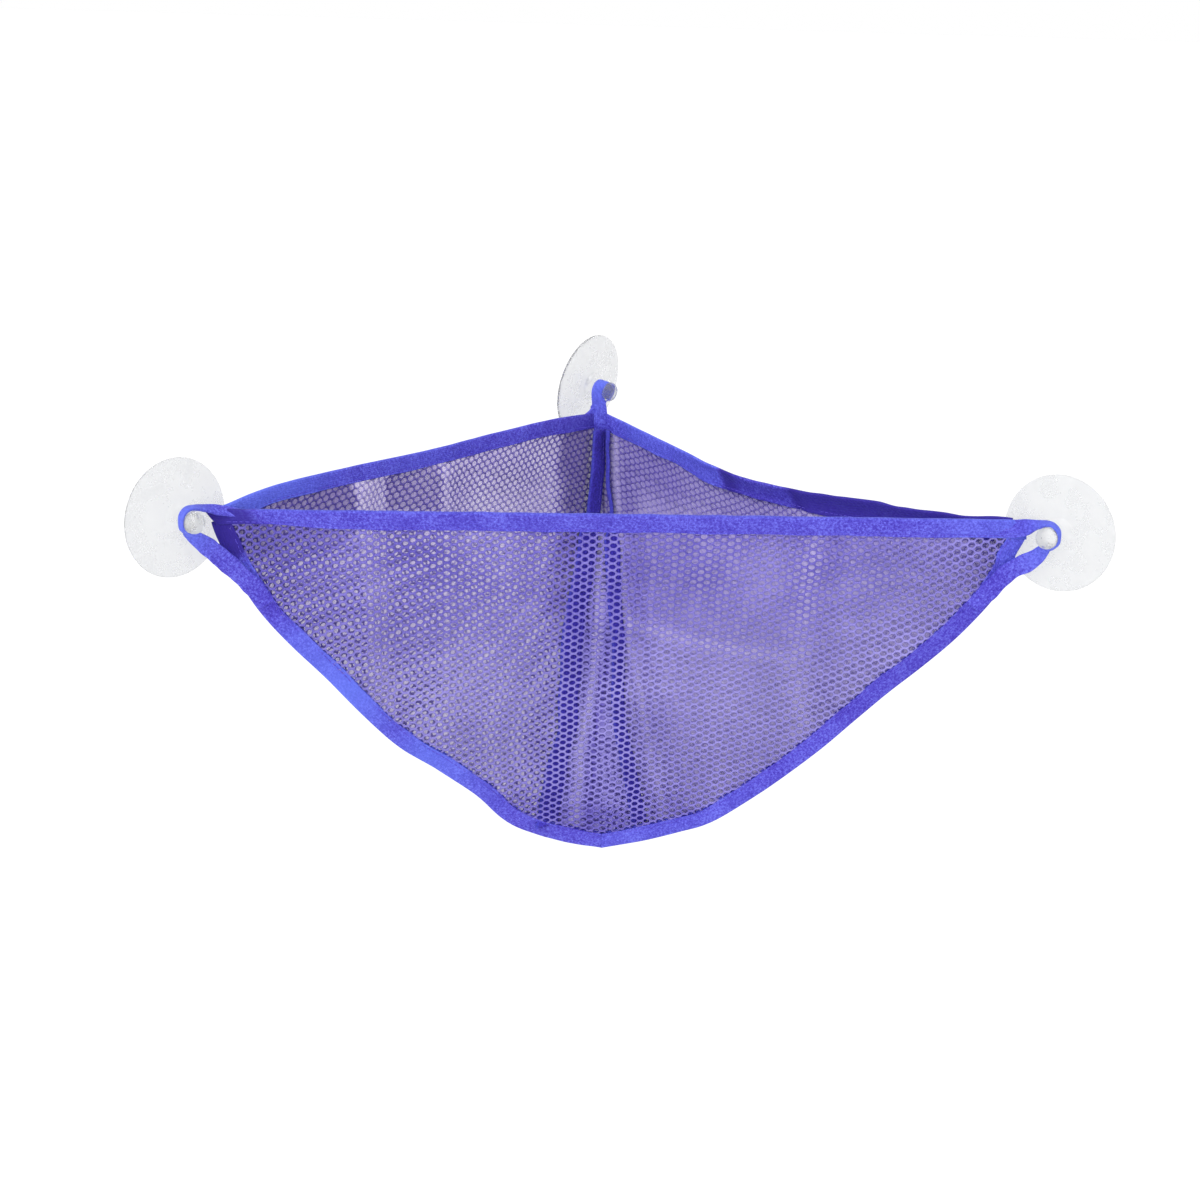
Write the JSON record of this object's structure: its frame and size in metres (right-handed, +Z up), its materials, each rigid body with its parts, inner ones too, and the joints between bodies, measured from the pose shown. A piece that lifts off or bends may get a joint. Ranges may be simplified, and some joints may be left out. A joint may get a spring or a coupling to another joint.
{
  "type": "hanging corner mesh basket",
  "caption": "Hanging corner basket of see-through violet mesh with bound edges, carried by clear suction cups in sewn tape loops.",
  "frame": {"origin": "top of the rim at its rear corner, where the basket hangs in the corner of two walls", "axes": "+X to the right along the front rim, -Y towards the viewer, +Z up"},
  "size_m": [0.4879, 0.2579, 0.2733],
  "materials": {
    "mesh_cloth": "fine open knitted polyester mesh",
    "binding_tape": "folded woven polyester tape",
    "clear_vinyl": "clear soft vinyl"
  },
  "bodies": {
    "basket": {"front_panel": "mesh_cloth", "left_rear_panel": "mesh_cloth", "right_rear_panel": "mesh_cloth", "rear_gusset": "mesh_cloth", "front_rim_tape": "binding_tape", "left_rim_tape": "binding_tape", "right_rim_tape": "binding_tape", "left_seam_tape": "binding_tape", "right_seam_tape": "binding_tape", "left_gusset_tape": "binding_tape", "right_gusset_tape": "binding_tape"},
    "left_loop": {"left_loop": "binding_tape"},
    "left_cup": {"left_cup": "clear_vinyl"},
    "right_loop": {"right_loop": "binding_tape"},
    "right_cup": {"right_cup": "clear_vinyl"},
    "rear_loop": {"rear_loop": "binding_tape"},
    "rear_cup": {"rear_cup": "clear_vinyl"}
  },
  "joints": [
    {"name": "left_loop_swing", "type": "hinge", "parent": "basket", "child": "left_loop", "pos_m": [-0.2047, -0.20454, -0.0192], "axis": [0.6947, -0.7193, 0], "range_deg": [-70, 70]},
    {"name": "left_cup_turn", "type": "hinge", "parent": "left_loop", "child": "left_cup", "pos_m": [-0.22136, -0.20672, -0.0192], "axis": [0.6947, -0.7193, 0], "continuous": true},
    {"name": "right_loop_swing", "type": "hinge", "parent": "basket", "child": "right_loop", "pos_m": [0.20493, -0.20399, -0.0216], "axis": [-0.6293, -0.7771, 0], "range_deg": [-70, 70]},
    {"name": "right_cup_turn", "type": "hinge", "parent": "right_loop", "child": "right_cup", "pos_m": [0.22171, -0.20471, -0.0216], "axis": [-0.6293, -0.7771, 0], "continuous": true},
    {"name": "rear_loop_swing", "type": "hinge", "parent": "basket", "child": "rear_loop", "pos_m": [-0.00054, 0.00042, 0.00651], "axis": [0.7772, -0.6072, -0.165], "range_deg": [-70, 70]},
    {"name": "rear_cup_turn", "type": "hinge", "parent": "rear_loop", "child": "rear_cup", "pos_m": [-0.00737, 0.00575, 0.01536], "axis": [0.7772, -0.6072, -0.165], "continuous": true}
  ]
}
